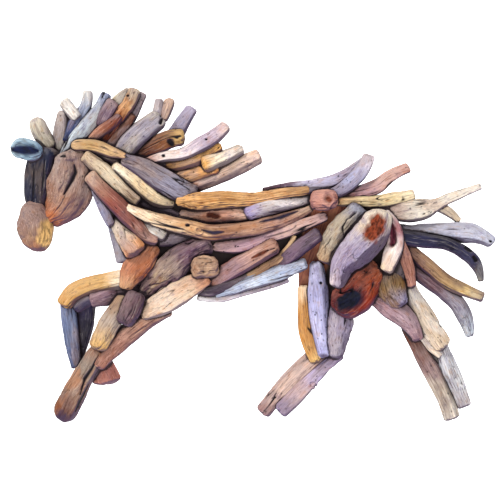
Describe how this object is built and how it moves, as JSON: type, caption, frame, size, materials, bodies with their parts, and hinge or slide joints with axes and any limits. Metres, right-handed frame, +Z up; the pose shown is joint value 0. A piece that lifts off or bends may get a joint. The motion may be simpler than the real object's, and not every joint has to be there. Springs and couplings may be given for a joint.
{
  "type": "driftwood horse wall sculpture",
  "caption": "Running horse in relief, built up from weathered driftwood sticks on a cut backing board, made to hang flat on a wall.",
  "frame": {"origin": "on the flat back of the backing board, where it bears on the wall, behind the middle of the barrel", "axes": "+X from the muzzle towards the tail along the wall, +Y out of the board's back into the wall, +Z up; the horse is seen looking along +Y"},
  "size_m": [0.9652, 0.1061, 0.6667],
  "materials": {
    "stained_board": "red-brown stained, matt",
    "driftwood_bleached": "sun-bleached, matt",
    "driftwood_blue": "blue-grey, matt",
    "driftwood_brick": "brick red knot wood, dark at the end",
    "driftwood_brown": "mottled brown, knotted",
    "driftwood_cream": "pale, worn smooth",
    "driftwood_grey": "silver-grey, matt",
    "driftwood_lavender": "lavender-grey, matt",
    "driftwood_mauve": "mauve-brown, matt",
    "driftwood_navy": "blue-black, matt",
    "driftwood_ochre": "golden, grooved along the grain",
    "driftwood_pink": "pink-grey, speckled with small worm holes",
    "driftwood_rust": "red-brown to orange",
    "driftwood_tan": "tan, worn smooth"
  },
  "bodies": {
    "root": {"backing_board": "stained_board", "far_cannon_sticks": "driftwood_blue", "far_hoof_wedge": "driftwood_pink", "far_forearm_sticks": "driftwood_ochre", "far_hind_hoof_stick": "driftwood_grey", "far_hind_cannon_stick": "driftwood_brown", "far_gaskin_outer_stick": "driftwood_cream", "far_gaskin_inner_stick": "driftwood_mauve", "near_hind_cannon_sticks": "driftwood_lavender", "tail_stick_6": "driftwood_bleached", "tail_stick_9": "driftwood_mauve", "tail_stick_8": "driftwood_tan", "tail_stick_7": "driftwood_navy", "tail_sticks_5": "driftwood_bleached", "tail_stick_3": "driftwood_rust", "tail_stick_4": "driftwood_cream", "tail_sticks_1_and_2": "driftwood_blue", "stifle_front_stick": "driftwood_tan", "stifle_middle_stick": "driftwood_lavender", "stifle_back_stick": "driftwood_grey", "thigh_striped_stick": "driftwood_mauve", "thigh_knot": "driftwood_brick", "thigh_back_stick": "driftwood_pink", "buttock_stick": "driftwood_bleached", "haunch_front_burl": "driftwood_grey", "haunch_bent_stick": "driftwood_cream", "mane_sticks_8": "driftwood_tan", "mane_sticks_7": "driftwood_bleached", "mane_sticks_6": "driftwood_rust", "mane_stick_between": "driftwood_grey", "mane_sticks_4": "driftwood_rust", "mane_sticks_5": "driftwood_grey", "forelock_sticks": "driftwood_grey", "mane_stick_3": "driftwood_blue", "forehead_stick": "driftwood_navy", "cheek_stick": "driftwood_tan", "ear_burl": "driftwood_blue", "muzzle_block": "driftwood_tan", "chest_board": "driftwood_rust", "chest_wedge_sticks": "driftwood_bleached", "neck_beige_stick": "driftwood_tan", "neck_cream_stick": "driftwood_cream", "neck_long_stick": "driftwood_rust", "neck_plank": "driftwood_grey", "neck_crest_stick": "driftwood_tan", "flank_dark_stick": "driftwood_navy", "flank_speckled_stick": "driftwood_pink", "belly_sticks": "driftwood_blue", "elbow_stick": "driftwood_mauve", "near_cannon_stick": "driftwood_brown", "near_knee_stick": "driftwood_mauve", "near_forearm_tan_stick": "driftwood_tan", "shoulder_stick": "driftwood_brown", "near_forearm_cream_stick": "driftwood_bleached", "near_forearm_stub": "driftwood_mauve", "elbow_knob": "driftwood_brown", "barrel_upper_sticks": "driftwood_bleached", "barrel_long_stick": "driftwood_brown", "back_plank": "driftwood_ochre", "hip_knot": "driftwood_pink"}
  },
  "joints": []
}
